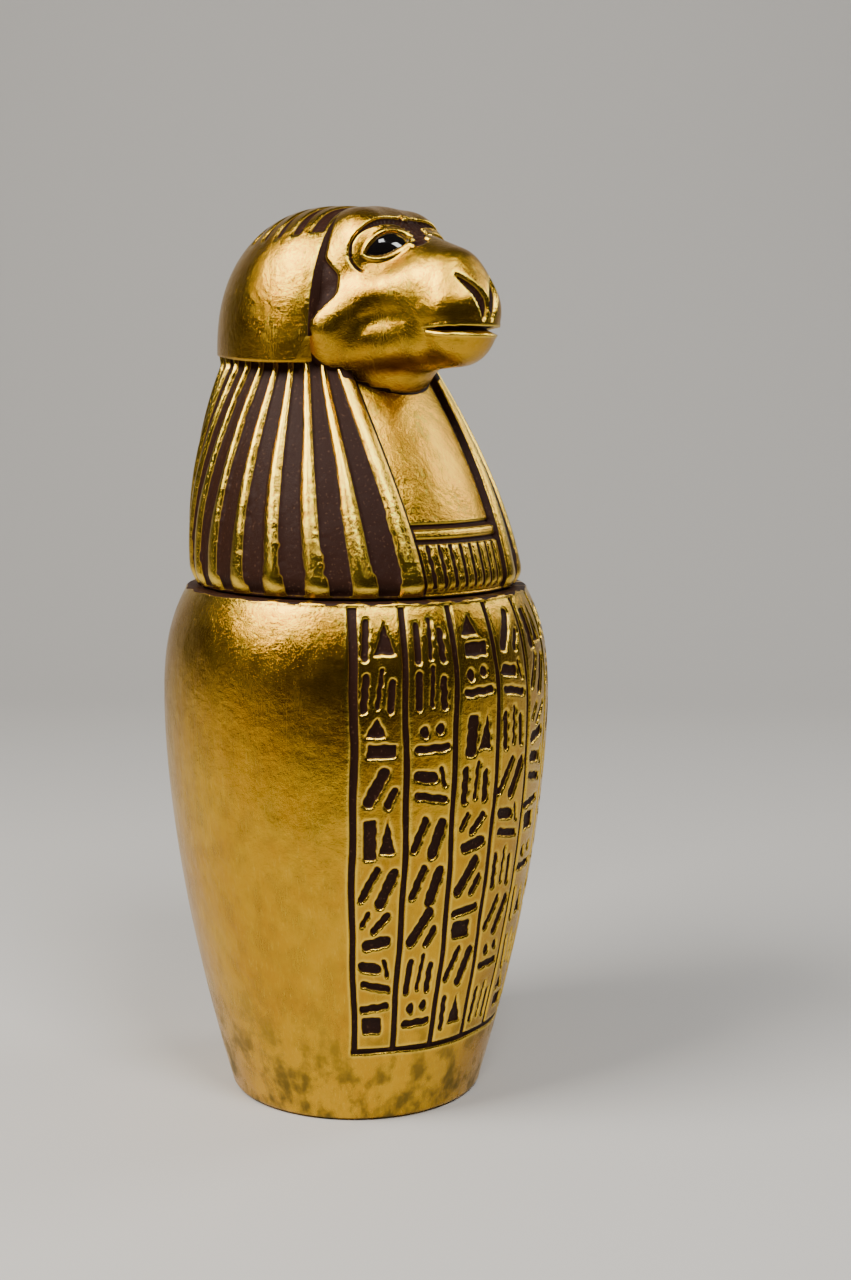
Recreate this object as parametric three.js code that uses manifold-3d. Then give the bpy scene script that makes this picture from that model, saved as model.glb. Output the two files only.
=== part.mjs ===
// Canopic jar with a baboon-headed lid, a hollow vessel and a lid that rests on it.
// Millimetres, +Z up. The jar stands on z = 0 and the head looks along -Y.
import * as THREE from 'three';
import { mergeVertices } from 'three/addons/utils/BufferGeometryUtils.js';
import Module from 'manifold-3d';

const wasm = await Module();
wasm.setup();

// Driving sizes of the jar.
const HEIGHT = 200;             // floor to the crown of the head
const SEAM_Z = 116.5;           // height of the lid's lower edge
const SEAM_GAP = 0.3;           // free space between the lid and the jar's ledge
const FOOT_R = 28.6;            // where the flank would meet the floor
const FOOT_ROUND = 1.6;         // rounding of the foot's edge
const BELLY_R = 43.7;           // widest radius
const BELLY_Z = 90;             // height of the widest ring
const LEDGE_R = 38.0;           // outer edge of the ledge below the lid
const WALL = 6;                 // wall of the vessel
const FLOOR = 7;                // thickness of its floor
const MOUTH_R = 27;             // radius of the mouth
const LIP = 5;                  // height of the mouth's straight collar
const FLANK_POWER = 1.72;       // how fast the flank draws in towards the foot
const SHOULDER_POWER = 2.7;     // how late the shoulder turns in towards the ledge
const JAR_SIDES = 30;           // facets around the jar
const TOLERANCE = 0.06;         // points of a finished solid that lie closer to its form are left out

// The written panel on the jar's front.
const PANEL_HALF_ANGLE = 45;    // degrees to each side of the face's direction
const PANEL_COLUMNS = 6;
const PANEL_Z = 17.5;           // its lower border
const RULE_W = 1.3;             // width of the lines between the columns
const EDGE_RULE_W = 2.0;        // width of the line at each side of the panel
const CARVE = 0.7;              // depth of lines and strokes
const STROKE_W = 1.5;
const MARKS = 9;                // marks in one column

// Driving sizes of the lid.
const SKIRT_INSET = 0.5;        // the skirt stands this far inside the ledge's edge
const SPIGOT_CLEARANCE = 0.8;   // between the spigot and the mouth
const SPIGOT_DEPTH = 7;
const RIB_DEPTH = 1.15;         // how far the ribs of the head cloth stand proud
const RIBS = 26;
const FLAP_ANGLE = 24.5;        // degrees from the front's middle to the first rib at its foot
const FLAP_ANGLE_TOP = 37;      // and below the hood
const CHEST_SHARE = 0.84;       // the smooth chest fills this share of that angle
const CHEST_DEPTH = 2.2;        // how far it lies below the ribs
const FRINGE_PROUD = 0.8;       // the fringe and its band stand this far out from the chest
const BARS = 9;                 // bars in the fringe below the chest
const BAR_Z = 1.8;              // foot of the fringe above the lid's edge
const BAR_H = 9.2;
const BAND_H = 3.0;             // plain band above the fringe
const CROWN_GROOVES = 6;
const GROOVE_DEPTH = 0.8;

const LID_H = HEIGHT - SEAM_Z;
const U = LID_H / 100;          // the head's own proportions are hundredths of the lid's height
const SKIRT_R = LEDGE_R - SKIRT_INSET;

const { cos, sin, abs, min, max, hypot, sqrt, sign, PI } = Math;
const deg = PI / 180;
const clamp = (x, a = 0, b = 1) => min(max(x, a), b);
const mix = (a, b, w) => a + (b - a) * w;
const smooth = (a, b, x) => {
  const w = clamp((x - a) / (b - a));
  return w * w * (3 - 2 * w);
};
const steps = (a, b, n) => Array.from({ length: n + 1 }, (_, i) => mix(a, b, i / n));

// A closed mesh as a solid that faces out, and back.
function solid(geometry) {
  const g = geometry.clone();
  g.deleteAttribute('normal');
  g.deleteAttribute('uv');
  const merged = mergeVertices(g, 1e-5);
  const build = (index) => new wasm.Manifold(new wasm.Mesh({
    numProp: 3,
    vertProperties: new Float32Array(merged.attributes.position.array),
    triVerts: new Uint32Array(index),
  }));
  const form = build(merged.index.array);
  return form.volume() > 0 ? form : build([...merged.index.array].reverse());
}

function toGeometry(manifold) {
  const mesh = manifold.getMesh();
  const g = new THREE.BufferGeometry();
  g.setAttribute('position', new THREE.BufferAttribute(mesh.vertProperties.slice(), 3));
  g.setIndex(new THREE.BufferAttribute(mesh.triVerts.slice(), 1));
  g.computeVertexNormals();
  return g;
}

// A closed skin from rings of points: each ring joins the next, and both ends close with a fan.
function skin(rings) {
  const n = rings[0].length;
  const mean = (ring) => [0, 1, 2].map((k) => ring.reduce((sum, p) => sum + p[k], 0) / n);
  const points = [...rings.flat(), mean(rings[0]), mean(rings[rings.length - 1])];
  const index = [];
  for (let i = 0; i < n; i += 1) {
    const j = (i + 1) % n;
    for (let row = 0; row + 1 < rings.length; row += 1) {
      const a = row * n;
      const b = a + n;
      index.push(a + i, a + j, b + j, a + i, b + j, b + i);
    }
    const last = (rings.length - 1) * n;
    index.push(rings.length * n, j, i);
    index.push(rings.length * n + 1, last + i, last + j);
  }
  const g = new THREE.BufferGeometry();
  g.setAttribute('position', new THREE.Float32BufferAttribute(points.flat(), 3));
  g.setIndex(index);
  return g;
}

// A groove cutter along a path: `at(u, v, lift)` is the point `lift` above the carved surface,
// and u and v are both lengths in millimetres along it.
function groove(path, width, depth, at, proud = 1) {
  const ring = path.map(([u, v], i) => {
    const [u0, v0] = path[max(i - 1, 0)];
    const [u1, v1] = path[min(i + 1, path.length - 1)];
    const run = hypot(u1 - u0, v1 - v0);
    const half = (Array.isArray(width) ? mix(width[0], width[1], i / (path.length - 1)) : width) / 2;
    const du = (-(v1 - v0) / run) * half;
    const dv = ((u1 - u0) / run) * half;
    return [
      at(u - du, v - dv, -depth),
      at(u + du, v + dv, -depth),
      at(u + du, v + dv, proud),
      at(u - du, v - dv, proud),
    ];
  });
  return solid(skin(ring));
}

// The jar's outside: radius of the flank and the shoulder at height z.
function jarRadius(z) {
  if (z < BELLY_Z) {
    return BELLY_R - (BELLY_R - FOOT_R) * ((BELLY_Z - z) / BELLY_Z) ** FLANK_POWER;
  }
  const rise = (z - BELLY_Z) / (SEAM_Z - BELLY_Z);
  return BELLY_R - (BELLY_R - LEDGE_R) * rise ** SHOULDER_POWER;
}

// Marks of the panel: each is a few strokes in a unit square, u to the right and v up.
const MARK_SHAPES = [
  [[[-0.7, 0.5], [0.7, 0.45]], [[-0.3, -0.4], [0.3, -0.45]]],
  [[[-0.6, -0.6], [-0.2, 0.7]], [[0.2, -0.7], [0.6, 0.6]]],
  [[[-0.7, 0.1], [0, -0.35], [0.7, 0.1]]],
  [[[-0.7, 0], [0.7, 0.05]]],
  [[[-0.7, -0.4], [-0.25, 0.25], [0.25, -0.25], [0.7, 0.4]]],
  [[[-0.5, 0.7], [0.6, -0.6]]],
  [[[0.1, 0.7], [-0.1, -0.7]]],
];

function jarSolid() {
  const top = SEAM_Z - SEAM_GAP;
  const round = steps(0, 90, 2).map((a) => [
    jarRadius(FOOT_ROUND) - FOOT_ROUND * (1 - sin(a * deg)),
    FOOT_ROUND * (1 - cos(a * deg)),
  ]);
  const flank = steps(FOOT_ROUND, BELLY_Z, 5).slice(1).map((z) => [jarRadius(z), z]);
  const shoulder = steps(BELLY_Z, top - 0.6, 4).slice(1).map((z) => [jarRadius(z), z]);
  const ledge = [[jarRadius(top) - 0.8, top], [MOUTH_R, top], [MOUTH_R, top - LIP]];
  const inner = steps(BELLY_Z + 8, FLOOR + WALL, 3).map((z) => [jarRadius(z) - WALL, z]);
  const profile = [[0, 0], ...round, ...flank, ...shoulder, ...ledge, ...inner,
    [jarRadius(FLOOR) - 2 * WALL, FLOOR], [0, FLOOR]];
  const turned = new THREE.LatheGeometry(profile.map(([r, z]) => new THREE.Vector2(r, z)), JAR_SIDES);
  turned.rotateX(PI / 2);
  return solid(turned);
}

// A point on the jar: u is the arc to the right of the front's middle line at the belly.
function onJar(u, z, lift) {
  const a = u / BELLY_R;
  const r = jarRadius(z) + lift;
  return [r * sin(a), -r * cos(a), z];
}

function panelCutters() {
  const half = PANEL_HALF_ANGLE * deg * BELLY_R;
  const top = SEAM_Z - 2;
  const lines = steps(-half, half, PANEL_COLUMNS).map((u) => {
    const edge = abs(u) > half - 1;
    const width = edge ? [EDGE_RULE_W, RULE_W] : RULE_W;
    const path = [...steps(top, BELLY_Z, 3), ...steps(BELLY_Z, PANEL_Z, 3).slice(1)];
    return groove(path.map((z) => [u, z]), width, CARVE, onJar, 1.5);
  });
  lines.push(groove(steps(-half, half, 6).map((u) => [u, PANEL_Z]), RULE_W, CARVE, onJar));
  const pitch = (2 * half) / PANEL_COLUMNS;
  const rise = (top - PANEL_Z - 3) / MARKS;
  for (let c = 0; c < PANEL_COLUMNS; c += 1) {
    for (let m = 0; m < MARKS; m += 1) {
      const u = -half + (c + 0.5) * pitch;
      const z = PANEL_Z + 2.5 + (m + 0.5) * rise;
      const narrow = jarRadius(z) / BELLY_R;
      MARK_SHAPES[(c * 3 + m * 5 + ((c * m) % 3)) % MARK_SHAPES.length].forEach((stroke) => {
        const path = stroke.map(([x, y]) => [u + x * pitch * 0.38, z + y * rise * 0.36]);
        lines.push(groove(path, STROKE_W / narrow, CARVE, onJar));
      });
    }
  }
  return lines;
}

// The lid below the hood, in millimetres above its lower edge: a bell that leans back.
const BELL = { foot: 3, rise: 54, lean: 11.4, neck: 29.6, power: 1.7, tuck: 2, tuckRise: 5.4 };
const rise01 = (z) => clamp((z / U - BELL.foot) / BELL.rise, 0, 1.1);
const bodyCentre = (z) => -BELL.lean * U * rise01(z);
function bodyRadius(z) {
  const draw = (SKIRT_R - BELL.neck * U) * min(rise01(z), 1.02) ** BELL.power;
  const tuck = BELL.tuck * U * clamp((BELL.tuckRise - z / U) / BELL.tuckRise) ** 2;
  return SKIRT_R - draw - tuck;
}

// The angle of rib number k at height z: evenly spread at the foot, drawn forward at the top.
function ribAngle(k, z) {
  const share = k / (RIBS / 2 - 0.5);
  const low = mix(FLAP_ANGLE, 180, share * (1.38 - 0.38 * share));
  const high = mix(FLAP_ANGLE_TOP, 180, 0.74 * share + 0.26 * share ** 4);
  return mix(low, high, clamp(rise01(z)) ** 1.45);
}

function onBody(u, z, lift) {
  const a = u / SKIRT_R;
  const r = bodyRadius(z) + lift;
  return [r * sin(a), -bodyCentre(z) - r * cos(a), SEAM_Z + z];
}

function bodySolid() {
  const fringeTop = BAR_Z + BAR_H + BAND_H;
  const levels = [0, 1.8, 7, fringeTop - 0.1, fringeTop + 0.5, ...steps(27 * U, 62 * U, 2)];
  const rings = levels.map((z) => {
    const side = [];
    const fade = 1 - 0.55 * clamp(1 - z / 1.6);
    const fringe = z > 1 && z < BAR_Z + BAR_H + BAND_H;
    const floor = CHEST_DEPTH - (fringe ? FRINGE_PROUD : 0);
    steps(0, CHEST_SHARE, 2).forEach((share) => {
      side.push([share * ribAngle(0, z), z < 1 ? 0.5 : floor]);
    });
    for (let k = 0; k < RIBS / 2; k += 1) {
      const wide = mix(0.25, 0.18, clamp(rise01(z) * 1.4));
      const rib = [[-wide, 1], [-wide / 2, 0], [wide / 2, 0], [wide, 1]];
      rib.slice(k === 0 ? 1 : 0).forEach(([offset, deep]) => {
        side.push([ribAngle(max(k + offset, 0), z), deep * RIB_DEPTH * fade]);
      });
    }
    const ring = [...side, ...side.slice(1).reverse().map(([a, d]) => [-a, d])];
    return ring.map(([a, deep]) => onBody(a * deg * SKIRT_R, z, -deep));
  });
  return solid(skin(rings));
}

// The head, in hundredths of the lid's height: s forward from the jar's axis, t to the side and
// h above the lid's edge. A field is below zero inside its form, so forms join by its minimum.
const blend = (a, b, k) => {
  const d = max(k - abs(a - b), 0) / k;
  return min(a, b) - (d * d * k) / 4;
};

function egg([s, t, h], [cs, ct, ch], [rs, rt, rh]) {
  const p = [(s - cs) / rs, (t - ct) / rt, (h - ch) / rh];
  const k0 = hypot(...p) + 1e-9;
  const k1 = hypot(p[0] / rs, p[1] / rt, p[2] / rh) + 1e-9;
  return (k0 * (k0 - 1)) / k1;
}

// A rounded cone from a to b; wide stretches it sideways.
function snout([s, t, h], a, b, ra, rb, wide = 1) {
  const d = [b[0] - a[0], b[1] - a[1], b[2] - a[2]];
  const p = [s - a[0], t - a[1], h - a[2]];
  const along = clamp((p[0] * d[0] + p[1] * d[1] + p[2] * d[2]) / (d[0] ** 2 + d[1] ** 2 + d[2] ** 2));
  const side = (p[1] - along * d[1]) / wide;
  return hypot(p[0] - along * d[0], side, p[2] - along * d[2]) - mix(ra, rb, along);
}

// The face in front of the hood. Its heights are from the hood's lower level.
function face(point) {
  const p = [point[0], abs(point[1]), point[2] - HOOD.h];
  const skull = egg(p, [0, 0, 14.3], [25.5, 23.4, 23]);
  const brow = egg(p, [9.6, 7.4, 25.3], [12, 10.2, 11.6]);
  const forehead = egg(p, [8, 0, 24.3], [14, 9, 13]);
  const bridge = snout(p, [15, 0, 23.8], [33, 0, 16.3], 9, 10.4);
  const muzzle = snout(p, [12, 0, 10.8], [35.5, 0, 9.9], 15, 12);
  const jaw = snout(p, [12, 0, 2.8], [37, 0, 3.5], 8.5, 7.4, 1.25);
  const bone = blend(
    snout(p, [9, 18, 6.1], [17.5, 11, 12.9], 7, 7),
    snout(p, [17.5, 11, 12.9], [28, 4.4, 15.3], 7, 8.4), 2);
  const jowl = snout(p, [7, 13.5, 2.3], [28, 7, 4.8], 9.5, 7.2);
  const throat = egg(p, [8.5, 0, -3.1], [14.5, 15.5, 11]);
  const head = blend(blend(skull, brow, 3.5), forehead, 3);
  const front = blend(blend(bridge, muzzle, 2.5), jaw, 3);
  const side = blend(bone, jowl, 2.2);
  return blend(blend(head, blend(front, side, 3.5), 3), throat, 2);
}

// The hood: a dome leaning forward at the top, cut off in front along a curved edge and below
// along a step. Its grooves stop at a smooth band, whose border rises forward by a slope.
const HOOD = {
  s: -9.4, h: 61.7, r: 31.2, top: 38.3, power: 2.4, lean: 4.5,
  edge: 8.5, draw: 4.5, drop: 3, step: 6.6, ease: 2.2, band: 29.9, slope: 0.118,
};
const hoodEdge = (h) => HOOD.edge - HOOD.draw * clamp((h - HOOD.h) / HOOD.top, 0, 1.1) ** 4.5;
const hoodFoot = (s) => HOOD.h - HOOD.drop
  + HOOD.step * smooth(HOOD.edge - 3.5, HOOD.edge, s)
  + HOOD.ease * smooth(0, HOOD.s - HOOD.r, s);
function dome([s, t, h]) {
  const up = max(h - HOOD.h, 0) / HOOD.top;
  const rho = hypot(s - HOOD.s - HOOD.lean * up * up, t) / HOOD.r;
  return ((rho ** HOOD.power + up ** HOOD.power) ** (1 / HOOD.power) - 1) * HOOD.r;
}

// Distance from an origin along a direction to where the field turns positive for good.
function reach(field, origin, direction, far = 60) {
  const at = (r) => origin.map((o, k) => o + r * direction[k]);
  let r = far;
  while (r > 1 && field(at(r)) > 0) r -= 1;
  let step = 0.5;
  r += 0.5;
  for (let i = 0; i < 12; i += 1) {
    step /= 2;
    r += field(at(r)) > 0 ? -step : step;
  }
  return r;
}

const toModel = ([s, t, h]) => [-t * U, -s * U, SEAM_Z + h * U];

// A point on the face seen from inside the head: turn is the bearing from straight ahead and
// climb the elevation, both in degrees.
const MIDDLE = [4, 0, HOOD.h + 10.3];
function onFace(turn, climb, lift) {
  const direction = [
    cos(climb * deg) * cos(turn * deg),
    cos(climb * deg) * sin(turn * deg),
    sin(climb * deg),
  ];
  const r = reach(face, MIDDLE, direction) + lift / U;
  return toModel([0, 1, 2].map((k) => MIDDLE[k] + r * direction[k]));
}

function faceSolid() {
  const columns = steps(0, 360, 28).slice(0, -1).map((a) => a - 20 * sin(a * deg));
  const climbs = [-80, -60, -45, ...steps(-33, 54, 13), 62, 71, 80];
  return solid(skin(climbs.map((c) => columns.map((a) => onFace(a, c, 0)))));
}

function hoodSolid() {
  const back = HOOD.s - HOOD.r;
  const rows = [0.02, 0.09, 0.22];
  for (let g = 0; g < CROWN_GROOVES; g += 1) {
    const middle = mix(0.4, 0.95, g / (CROWN_GROOVES - 1));
    rows.push(middle - 0.028, middle - 0.014, middle + 0.014, middle + 0.028);
  }
  rows.push(1);
  const grooved = (row) => row > 2 && row < rows.length - 1 && [1, 2].includes((row - 3) % 4);
  const rings = rows.map((v, row) => {
    const place = (t, h) => [mix(back, hoodEdge(h), v), t, h];
    const section = ([t, up]) => dome(place(t, HOOD.h + up));
    const foot = hoodFoot(mix(back, hoodEdge(60), v));
    const start = Math.atan2(foot - HOOD.h, reach(section, [0, 0], [1, 0])) / deg;
    return steps(start, 180 - start, 12).map((a, i, all) => {
      const direction = [cos(a * deg), sin(a * deg)];
      const span = reach(section, [0, 0], direction);
      const band = HOOD.band + HOOD.slope * mix(back, HOOD.edge, v);
      const carved = grooved(row) && span * direction[1] > band;
      const r = span - (carved ? GROOVE_DEPTH / U : 0);
      const h = i === 0 || i === all.length - 1 ? foot : HOOD.h + r * direction[1];
      return place(r * direction[0], h);
    });
  });
  return solid(skin(rings.map((ring) => ring.map(toModel))));
}

// The eye's plane turns to the side and is tilted; x runs in it towards the nose and y up.
const EYE = { s: 21.6, t: 9.8, h: 26.2, turn: 46 * deg, tilt: 19 * deg, half: 6.3 };
const LIDS = { up: 3.6, down: -2.2, width: 1.6, depth: 0.6 };
const BROW = { x: -0.9, y: 0.3, rx: 9.2, ry: 6.7, from: 172, to: 8, width: [0.8, 2], depth: 0.9 };
const onEye = (side) => (x, y, lift) => {
  const across = x * cos(EYE.tilt) - y * sin(EYE.tilt);
  const h = HOOD.h + EYE.h + x * sin(EYE.tilt) + y * cos(EYE.tilt) - MIDDLE[2];
  const s = EYE.s + across * sin(EYE.turn) - MIDDLE[0];
  const t = EYE.t - across * cos(EYE.turn);
  return onFace((side * Math.atan2(t, s)) / deg, Math.atan2(h, hypot(s, t)) / deg, lift);
};

// Nostrils and mouth are given as bearing and climb from inside the head, in degrees.
const NOSTRIL = { path: [[9.3, 13.1], [3.6, 4.4], [2.1, -3.5]], width: [1, 3], depth: 1.3 };
const MOUTH = { corner: 17.6, climb: -8.4, curl: 0.7, width: 3, depth: 2.4 };

function faceCutters() {
  const cuts = [];
  [-1, 1].forEach((side) => {
    [LIDS.up, LIDS.down].forEach((bulge) => {
      const lid = steps(-1, 1, 4).map((w) => [EYE.half * w, bulge * (1 - w * w)]);
      cuts.push(groove(lid, LIDS.width, LIDS.depth, onEye(side)));
    });
    const brow = steps(BROW.from, BROW.to, 6).map((a) => [
      BROW.x + BROW.rx * cos(a * deg),
      BROW.y + BROW.ry * sin(a * deg),
    ]);
    cuts.push(groove(brow, BROW.width, BROW.depth, onEye(side)));
    const nostril = NOSTRIL.path.map(([turn, climb]) => [side * turn, climb]);
    cuts.push(groove(nostril, NOSTRIL.width, NOSTRIL.depth, onFace));
  });
  const mouth = steps(-1, 1, 6).map((w) => [MOUTH.corner * w, MOUTH.climb + MOUTH.curl * w * w]);
  cuts.push(groove(mouth, MOUTH.width, MOUTH.depth, onFace));
  return cuts;
}

// The fringe: a line over and under the plain band, and gaps that leave the bars standing.
function fringeCutters() {
  const onChest = (u, z, lift) => onBody(u, z, lift - CHEST_DEPTH + FRINGE_PROUD);
  const half = FLAP_ANGLE * CHEST_SHARE * deg * SKIRT_R;
  const barTop = BAR_Z + BAR_H;
  const cuts = [barTop + 0.6, barTop + 0.6 + BAND_H].map((z) =>
    groove(steps(-half, half, 4).map((u) => [u, z]), 0.8, FRINGE_PROUD, onChest, 2));
  steps(-half, half, BARS).forEach((u) => {
    cuts.push(groove([[u, BAR_Z], [u, barTop]], 1.3, FRINGE_PROUD, onChest, 2));
  });
  return cuts;
}

function spigotSolid() {
  const r = MOUTH_R - SPIGOT_CLEARANCE;
  const plug = new THREE.CylinderGeometry(r, r - 0.6, SPIGOT_DEPTH + 2, JAR_SIDES);
  plug.rotateX(PI / 2);
  plug.translate(0, 0, SEAM_Z + 1 - SPIGOT_DEPTH / 2);
  return solid(plug);
}

const carve = (form, cutters) => form.subtract(wasm.Manifold.union(cutters)).simplify(TOLERANCE);

const leaf = new THREE.MeshStandardMaterial({
  name: 'brass_leaf',
  color: 0xc79a35,
  metalness: 1,
  roughness: 0.34,
});

const jar = new THREE.Mesh(toGeometry(carve(jarSolid(), panelCutters())), leaf);
jar.name = 'jar';

const head = carve(faceSolid(), faceCutters()).add(hoodSolid());
const body = carve(bodySolid(), fringeCutters()).add(spigotSolid());
const lid = new THREE.Mesh(toGeometry(head.add(body)), leaf.clone());
lid.name = 'lid';

const object = new THREE.Group();
object.add(jar, lid);

export default object;
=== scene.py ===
# %% [markdown]
# # A canopic jar with a baboon's head
#
# The real thing is a small cast jar, covered in brass leaf and rubbed back, with dark brown paint
# left in every hollow. This lesson builds its looks in Blender over a measured frame: a hollow
# vessel and a lid. Each surface is a formula on a grid of numbers, because a turned jar, a ribbed
# cloth and a smooth muzzle are all easier to describe by a rule than to push about by hand.

# %% Load the measured frame
import math

import bpy
import numpy as np
from mathutils import Matrix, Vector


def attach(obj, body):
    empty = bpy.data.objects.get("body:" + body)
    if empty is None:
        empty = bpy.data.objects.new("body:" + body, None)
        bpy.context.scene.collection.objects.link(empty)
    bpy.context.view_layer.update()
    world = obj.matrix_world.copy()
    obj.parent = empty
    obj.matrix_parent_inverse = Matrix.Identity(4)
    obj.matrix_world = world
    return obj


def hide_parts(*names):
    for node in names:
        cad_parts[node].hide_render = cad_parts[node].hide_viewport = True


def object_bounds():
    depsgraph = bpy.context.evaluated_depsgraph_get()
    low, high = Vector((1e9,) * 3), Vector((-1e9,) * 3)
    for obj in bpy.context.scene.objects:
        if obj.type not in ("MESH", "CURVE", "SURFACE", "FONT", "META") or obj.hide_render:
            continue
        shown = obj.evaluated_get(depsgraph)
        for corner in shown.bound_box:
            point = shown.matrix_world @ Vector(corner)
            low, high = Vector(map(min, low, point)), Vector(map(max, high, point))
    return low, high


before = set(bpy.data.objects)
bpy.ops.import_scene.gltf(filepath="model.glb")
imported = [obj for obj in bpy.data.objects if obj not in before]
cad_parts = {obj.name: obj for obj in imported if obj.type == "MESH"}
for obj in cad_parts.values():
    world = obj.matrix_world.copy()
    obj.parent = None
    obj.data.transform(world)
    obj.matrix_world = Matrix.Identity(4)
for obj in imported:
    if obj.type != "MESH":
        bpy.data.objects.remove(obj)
cad_box = [list(corner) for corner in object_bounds()]
print("the frame measures", [round(b - a, 4) for a, b in zip(*cad_box)], "m")
print("its parts are", sorted(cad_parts))

# %% [markdown]
# ## Sizes
#
# All formulas work in millimetres and are turned into metres when a mesh is made. The total
# height is read from the frame; the rest are the sizes of the jar's own design, as in the solids.

# %% Sizes in millimetres
MM = 0.001
HEIGHT = cad_box[1][2] / MM
SEAM_Z = 116.5
SEAM_GAP = 0.3
FOOT_R, FOOT_ROUND = 28.6, 1.6
BELLY_R, BELLY_Z = 43.7, 90.0
LEDGE_R, LEDGE_ROUND, WALL, FLOOR = 38.0, 0.8, 6.0, 7.0
MOUTH_R, LIP = 27.0, 5.0
FLANK_POWER, SHOULDER_POWER = 1.72, 2.7
PANEL_HALF = math.radians(45) * BELLY_R
PANEL_COLUMNS, PANEL_Z, MARKS = 6, 17.5, 9
RULE_W, EDGE_RULE_W, CARVE = 1.3, 2.0, 0.7
SKIRT_R = LEDGE_R - 0.5
SPIGOT_R, SPIGOT_DEPTH = MOUTH_R - 0.8, 7.0
RIB_DEPTH, RIBS = 1.15, 26
FLAP_ANGLE, FLAP_ANGLE_TOP, CHEST_SHARE = 24.5, 37.0, 0.84
CHEST_DEPTH, CHEST_DEPTH_TOP, FRINGE_PROUD = 2.2, 2.7, 0.8
BARS, BAR_Z, BAR_H, BAND_H = 9, 1.8, 9.2, 3.0
U = (HEIGHT - SEAM_Z) / 100
print("one hundredth of the lid is", round(U, 3), "mm")

# %% [markdown]
# ## Small helpers for shapes
#
# A soft step, a mix and a soft minimum are enough to carve and to join forms. The soft minimum
# rounds the crease where two forms meet, which is how a modeller's thumb joins two lumps of clay.

# %% Steps, mixes and joins
rng = np.random.default_rng(7)


def soft(a, b, x):
    """0 below a, 1 above b, and an S-shaped curve between them."""
    w = np.clip((x - a) / (b - a), 0, 1)
    return w * w * (3 - 2 * w)


def mix(a, b, w):
    """The straight blend from a to b."""
    return a + (b - a) * w


def join(a, b, k):
    """The smaller of two fields, rounded over a width of k where they meet."""
    d = np.maximum(k - np.abs(a - b), 0) / k
    return np.minimum(a, b) - d * d * k / 4


# %% [markdown]
# ## From a grid to a mesh
#
# A grid of points has rows and columns. Here the columns always run all the way round, so the
# last joins the first, and each end is closed by a fan to one point. The carving is kept as
# numbers on the vertices too: how much brown paint lies there, painted shade at the seam and the
# throat included, how far a rubbing cloth would reach, and whether the spot is an eye.

# %% Grid to mesh
def shell(points):
    """Vertices and faces of a closed skin: rows x columns x 3, wrapped round, with two end fans."""
    rows, cols, _ = points.shape
    ends = [points[0].mean(axis=0), points[-1].mean(axis=0)]
    verts = np.vstack([points.reshape(-1, 3), ends])
    i = np.arange(rows - 1)[:, None] * cols
    j = np.arange(cols)[None, :]
    k = (j + 1) % cols
    quads = np.stack([i + j, i + k, i + cols + k, i + cols + j], -1).reshape(-1, 4)
    last = (rows - 1) * cols
    foot = np.stack([k[0], j[0], np.full(cols, rows * cols)], -1)
    top = np.stack([last + j[0], last + k[0], np.full(cols, rows * cols + 1)], -1)
    return verts, quads.tolist() + foot.tolist() + top.tolist()


def volume(verts, faces):
    """Signed volume of a closed skin, positive when its faces point out."""
    tris = np.array([[f[0], f[a], f[a + 1]] for f in faces for a in range(1, len(f) - 1)])
    a, b, c = (verts[tris[:, n]] for n in range(3))
    return float(np.einsum("ij,ij->i", a, np.cross(b, c)).sum() / 6)


def make_piece(name, skins, material):
    """One smooth mesh object from skins, each (points, {attribute: rows x columns})."""
    verts, faces, values, start = [], [], {}, 0
    for points, fields in skins:
        v, f = shell(points)
        if volume(v, f) < 0:
            f = [face[::-1] for face in f]
        verts.append(v)
        faces += [[n + start for n in face] for face in f]
        start += len(v)
        for key, grid in fields.items():
            ends = [grid[0].mean(), grid[-1].mean()]
            values.setdefault(key, []).append(np.concatenate([grid.ravel(), ends]))
    mesh = bpy.data.meshes.new(name)
    mesh.from_pydata((np.vstack(verts) * MM).tolist(), [], faces)
    for key, parts in values.items():
        mesh.attributes.new(key, "FLOAT", "POINT").data.foreach_set("value", np.concatenate(parts))
    mesh.shade_smooth()
    mesh.materials.append(material)
    piece = bpy.data.objects.new(name, mesh)
    bpy.context.scene.collection.objects.link(piece)
    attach(piece, "root")
    triangles = sum(len(face) - 2 for face in faces)
    print(name, "has", triangles, "triangles")
    return piece


def rubbed(depth, reach=3):
    """How far a spot stands above its surroundings on the grid, 0 to 1: where a cloth rubs."""
    blurred = depth.copy()
    for _ in range(reach):
        blurred = (np.roll(blurred, 1, 1) + np.roll(blurred, -1, 1) + 2 * blurred) / 4
        padded = np.pad(blurred, ((1, 1), (0, 0)), mode="edge")
        blurred = (padded[:-2] + padded[2:] + 2 * blurred) / 4
    return np.clip((blurred - depth) * 6, 0, 1)


# %% [markdown]
# ## Camera
#
# The photograph was taken close by, from a little above the seam and 46 degrees round to the
# side of the face. Fitting the jar's rings gave a lens near 52 mm and a distance of 0.42 m. The
# camera leans down by 8 degrees and is rolled by a third of a degree.

# %% Camera at the photograph's view
CAMERA_TURN, CAMERA_DOWN, CAMERA_ROLL = (math.radians(a) for a in (-46.0, 8.05, 0.35))
CAMERA_BACK, CAMERA_HEIGHT, CAMERA_ASIDE = 418 * MM, 162.3 * MM, 15.67 * MM
FOCAL_PIXELS, LONG_SIDE = 1850, 1280


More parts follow.
